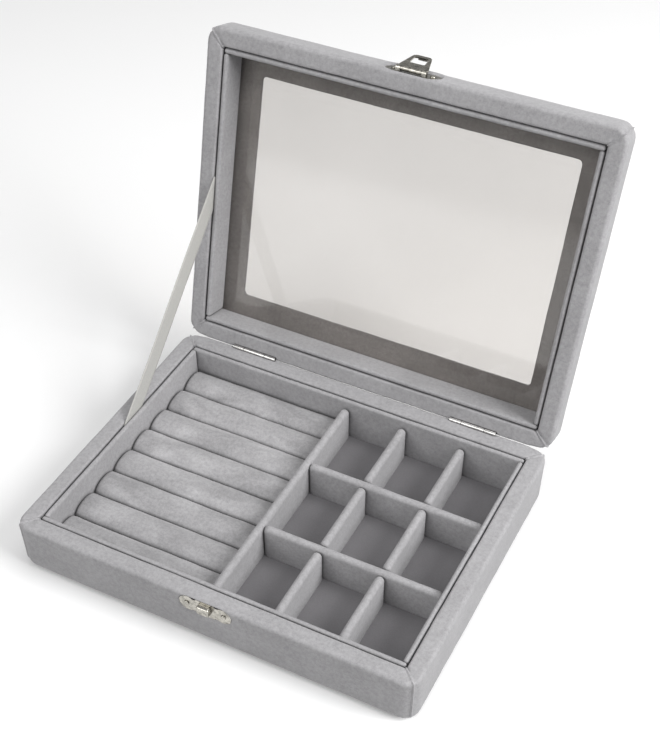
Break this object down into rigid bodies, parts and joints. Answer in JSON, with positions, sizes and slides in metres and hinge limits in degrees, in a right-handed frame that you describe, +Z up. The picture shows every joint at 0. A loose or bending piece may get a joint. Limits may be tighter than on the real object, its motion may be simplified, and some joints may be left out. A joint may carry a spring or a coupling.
{
  "type": "ring display box",
  "caption": "Shallow velvet-covered jewellery box with a hinged glazed lid, ring rolls, a grid of compartments, a ribbon stay and a swing clasp.",
  "frame": {"origin": "centre of the underside, on the surface the box stands on", "axes": "+X to the right along the hinge, +Y from the clasp side to the hinged back, +Z up; the lid stands open at 105.5 degrees"},
  "size_m": [0.2, 0.2118, 0.1764],
  "materials": {
    "velvet_cover": "short grey velvet over thin foam",
    "velvet_lining": "short grey velvet over card",
    "velvet_divider": "short grey velvet over card",
    "velvet_roll": "short grey velvet over foam",
    "wall_board": "raw fibreboard",
    "panel_board": "grey board",
    "floor_sheet": "smooth darker grey cloth",
    "underside_sheet": "grey flocked sheet",
    "clear_glass": "clear, polished",
    "hinge_metal": "bright nickel plate",
    "clasp_metal": "worn nickel plate",
    "ribbon": "flat woven ribbon"
  },
  "bodies": {
    "base": {"base_board_back": "wall_board", "base_board_front": "wall_board", "base_board_left": "wall_board", "base_board_right": "wall_board", "base_cover": "velvet_cover", "base_floor_board": "wall_board", "base_hinge_leaf_left": "hinge_metal", "base_hinge_leaf_right": "hinge_metal", "base_hinge_nails": "hinge_metal", "base_lining_back": "velvet_lining", "base_lining_front": "velvet_lining", "base_lining_left": "velvet_lining", "base_lining_right": "velvet_lining", "base_underside_sheet": "underside_sheet", "catch_nails": "clasp_metal", "catch_plate": "clasp_metal", "column_divider_row1_1": "velvet_divider", "column_divider_row1_2": "velvet_divider", "column_divider_row2_1": "velvet_divider", "column_divider_row2_2": "velvet_divider", "column_divider_row3_1": "velvet_divider", "column_divider_row3_2": "velvet_divider", "compartment_floor": "floor_sheet", "cross_divider_1": "velvet_divider", "cross_divider_2": "velvet_divider", "hinge_pin_left": "hinge_metal", "hinge_pin_right": "hinge_metal", "main_divider": "velvet_divider", "ribbon_stay": "ribbon", "ring_roll_1": "velvet_roll", "ring_roll_2": "velvet_roll", "ring_roll_3": "velvet_roll", "ring_roll_4": "velvet_roll", "ring_roll_5": "velvet_roll", "ring_roll_6": "velvet_roll", "ring_roll_7": "velvet_roll", "ring_roll_8": "velvet_roll"},
    "lid": {"glass_pane": "clear_glass", "hasp_nails": "clasp_metal", "hasp_pin": "clasp_metal", "hasp_plate": "clasp_metal", "lid_board_back": "wall_board", "lid_board_front": "wall_board", "lid_board_left": "wall_board", "lid_board_right": "wall_board", "lid_cover": "velvet_cover", "lid_hinge_leaf_left": "hinge_metal", "lid_hinge_leaf_right": "hinge_metal", "lid_hinge_nails": "hinge_metal", "lid_lining_back": "velvet_lining", "lid_lining_front": "velvet_lining", "lid_lining_left": "velvet_lining", "lid_lining_right": "velvet_lining", "lid_window_panel": "panel_board"},
    "hasp": {"hasp": "clasp_metal"}
  },
  "joints": [
    {"name": "lid_hinge", "type": "hinge", "parent": "base", "child": "lid", "pos_m": [0, 0.0763, 0.02795], "axis": [-1, 0, 0], "range_deg": [-105.5, 0], "deforming": ["ribbon_stay"]},
    {"name": "hasp_swing", "type": "hinge", "parent": "lid", "child": "hasp", "pos_m": [0, 0.12048, 0.1753], "axis": [1, 0, 0], "range_deg": [0, 164.5]}
  ]
}
